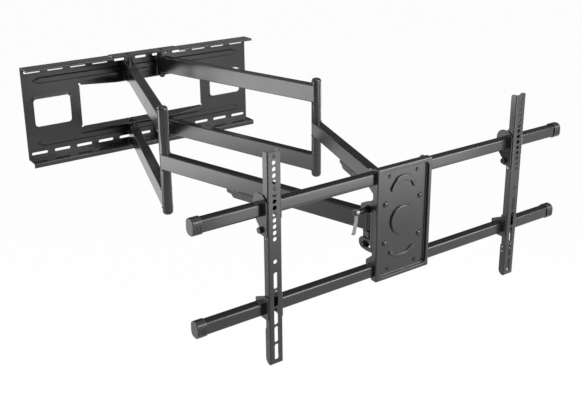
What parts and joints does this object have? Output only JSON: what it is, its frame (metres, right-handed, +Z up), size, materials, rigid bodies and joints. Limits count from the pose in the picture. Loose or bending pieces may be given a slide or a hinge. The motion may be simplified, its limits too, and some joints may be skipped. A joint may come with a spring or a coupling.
{
  "type": "swivel tv wall mount",
  "caption": "Full-motion television wall mount: slotted wall plate, paired folding arms, tilting and levelling head, cross rails and sliding upright brackets.",
  "frame": {"origin": "middle of the wall bolt pattern, on the back face of the wall plate", "axes": "+X along the wall to the right as seen from the room, +Y into the wall, +Z up"},
  "size_m": [0.976, 1.244, 0.435],
  "materials": {
    "powder_steel": "satin",
    "pin_steel": "satin",
    "zinc_steel": "bright",
    "dark_bolts": "satin",
    "bush_plastic": "matte",
    "black_plastic": "gloss"
  },
  "bodies": {
    "wall": {"wall_plate": "powder_steel", "upper_doubler": "powder_steel", "lower_doubler": "powder_steel", "wall_pivot_bolts": "dark_bolts", "wall_pivot_washers": "dark_bolts"},
    "inner_left": {"inner_upper_arm_left": "powder_steel", "inner_lower_arm_left": "powder_steel", "wall_bushes_left": "bush_plastic", "elbow_pin_left": "pin_steel", "elbow_caps_left": "black_plastic"},
    "outer_left": {"outer_arm_left": "powder_steel", "elbow_bushes_left": "bush_plastic", "head_bushes_left": "bush_plastic", "cable_cover_left": "black_plastic"},
    "inner_right": {"inner_upper_arm_right": "powder_steel", "inner_lower_arm_right": "powder_steel", "wall_bushes_right": "bush_plastic", "elbow_pin_right": "pin_steel", "elbow_caps_right": "black_plastic"},
    "outer_right": {"outer_arm_right": "powder_steel", "elbow_bushes_right": "bush_plastic", "head_bushes_right": "bush_plastic", "cable_cover_right": "black_plastic"},
    "yoke": {"head_yoke": "powder_steel", "head_pins": "pin_steel", "tilt_clamp_bolt": "dark_bolts", "tilt_clamp_nut": "dark_bolts", "tilt_guide_bolts": "dark_bolts", "tilt_guide_nuts": "dark_bolts"},
    "lever": {"clamp_lever": "zinc_steel"},
    "tilt_frame": {"tilt_bracket": "powder_steel", "level_spacer": "powder_steel"},
    "screen_frame": {"head_plate": "powder_steel", "rail_ears": "powder_steel", "level_pivot": "powder_steel", "level_bolts": "dark_bolts", "level_nuts": "dark_bolts", "rail_screws": "dark_bolts", "upper_rail": "powder_steel", "lower_rail": "powder_steel", "rail_end_caps": "black_plastic"},
    "bracket_left": {"tv_bracket_left": "powder_steel", "upper_clamp_left": "powder_steel", "lower_clamp_left": "powder_steel", "safety_screw_left": "dark_bolts"},
    "bracket_right": {"tv_bracket_right": "powder_steel", "upper_clamp_right": "powder_steel", "lower_clamp_right": "powder_steel", "safety_screw_right": "dark_bolts"}
  },
  "joints": [
    {"name": "shoulder_left", "type": "hinge", "parent": "wall", "child": "inner_left", "pos_m": [-0.056, -0.034, 0], "axis": [0, 0, -1], "range_deg": [-7, 67]},
    {"name": "elbow_left", "type": "hinge", "parent": "inner_left", "child": "outer_left", "pos_m": [-0.23318, -0.61352, 0], "axis": [0, 0, 1], "range_deg": [-14, 134]},
    {"name": "head_left", "type": "hinge", "parent": "outer_left", "child": "yoke", "pos_m": [-0.056, -1.19304, 0], "axis": [0, 0, -1], "range_deg": [-7, 67]},
    {"name": "shoulder_right", "type": "hinge", "parent": "wall", "child": "inner_right", "pos_m": [0.056, -0.034, 0], "axis": [0, 0, 1], "range_deg": [-7, 67]},
    {"name": "elbow_right", "type": "hinge", "parent": "inner_right", "child": "outer_right", "pos_m": [0.23318, -0.61352, 0], "axis": [0, 0, -1], "range_deg": [-14, 134]},
    {"name": "tilt", "type": "hinge", "parent": "yoke", "child": "tilt_frame", "pos_m": [0, -1.20604, 0.031], "axis": [1, 0, 0], "range_deg": [-5, 10]},
    {"name": "level", "type": "hinge", "parent": "tilt_frame", "child": "screen_frame", "pos_m": [0, -1.22104, 0], "axis": [0, 1, 0], "range_deg": [-3, 3]},
    {"name": "clamp_swing", "type": "hinge", "parent": "yoke", "child": "lever", "pos_m": [-0.103, -1.20604, 0.031], "axis": [-1, 0, 0], "range_deg": [-40, 20]},
    {"name": "bracket_slide_left", "type": "slide", "parent": "screen_frame", "child": "bracket_left", "axis": [-1, 0, 0], "range_m": [-0.225, 0.12]},
    {"name": "bracket_slide_right", "type": "slide", "parent": "screen_frame", "child": "bracket_right", "axis": [1, 0, 0], "range_m": [-0.225, 0.12]}
  ],
  "couplings": [
    {"joint": "elbow_left", "follows": "shoulder_left", "ratio": 2},
    {"joint": "head_left", "follows": "shoulder_left", "ratio": 1},
    {"joint": "shoulder_right", "follows": "shoulder_left", "ratio": 1},
    {"joint": "elbow_right", "follows": "shoulder_left", "ratio": 2}
  ]
}
